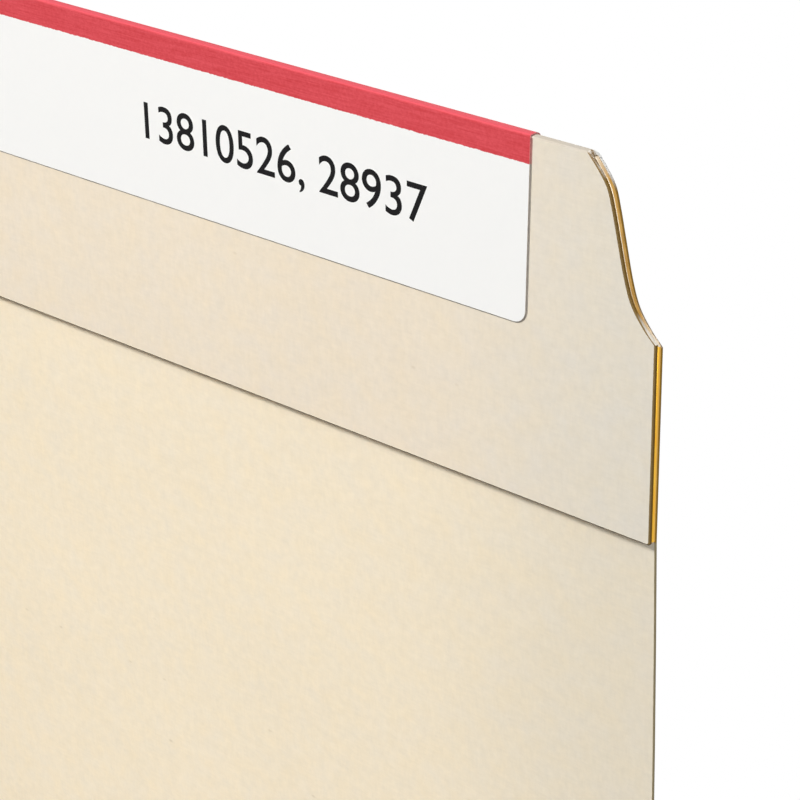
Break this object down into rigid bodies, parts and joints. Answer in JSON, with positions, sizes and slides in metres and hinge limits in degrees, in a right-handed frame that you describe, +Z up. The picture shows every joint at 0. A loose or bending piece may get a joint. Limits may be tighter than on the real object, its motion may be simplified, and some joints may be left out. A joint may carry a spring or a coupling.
{
  "type": "manila folder",
  "caption": "Letter-size card file folder with a scored bottom gusset, a two-ply reinforced tab in the right-hand position and a label with a colour band wrapped over the tab.",
  "frame": {"origin": "middle of the folder's footprint on the table, with the back leaf standing up", "axes": "+X along the bottom fold towards the tab's side, -Y from the back leaf out over the open front cover, +Z up the back leaf"},
  "size_m": [0.2984, 0.2256, 0.2414],
  "materials": {
    "manila_card": "matte",
    "manila_ply": "matte",
    "amber_glue": "satin",
    "label_adhesive": "satin",
    "label_paper": "matte"
  },
  "bodies": {
    "base": {"gusset_strip_1": "manila_card", "bottom_crease": "manila_card"},
    "cover": {"gusset_strip_2": "manila_card", "gusset_strip_3": "manila_card", "front_cover": "manila_card"},
    "back": {"back_leaf": "manila_card", "tab_reinforcement": "manila_ply", "tab_glue": "amber_glue", "label_adhesive": "label_adhesive", "label_paper": "label_paper"}
  },
  "joints": [
    {"name": "cover_fold", "type": "hinge", "parent": "base", "child": "cover", "pos_m": [0, 0.10554, 0.00028], "axis": [-1, 0, 0], "range_deg": [0, 90]},
    {"name": "back_fold", "type": "hinge", "parent": "base", "child": "back", "pos_m": [0, 0.11189, 0.00074], "axis": [1, 0, 0], "range_deg": [-90, 1.5]}
  ]
}
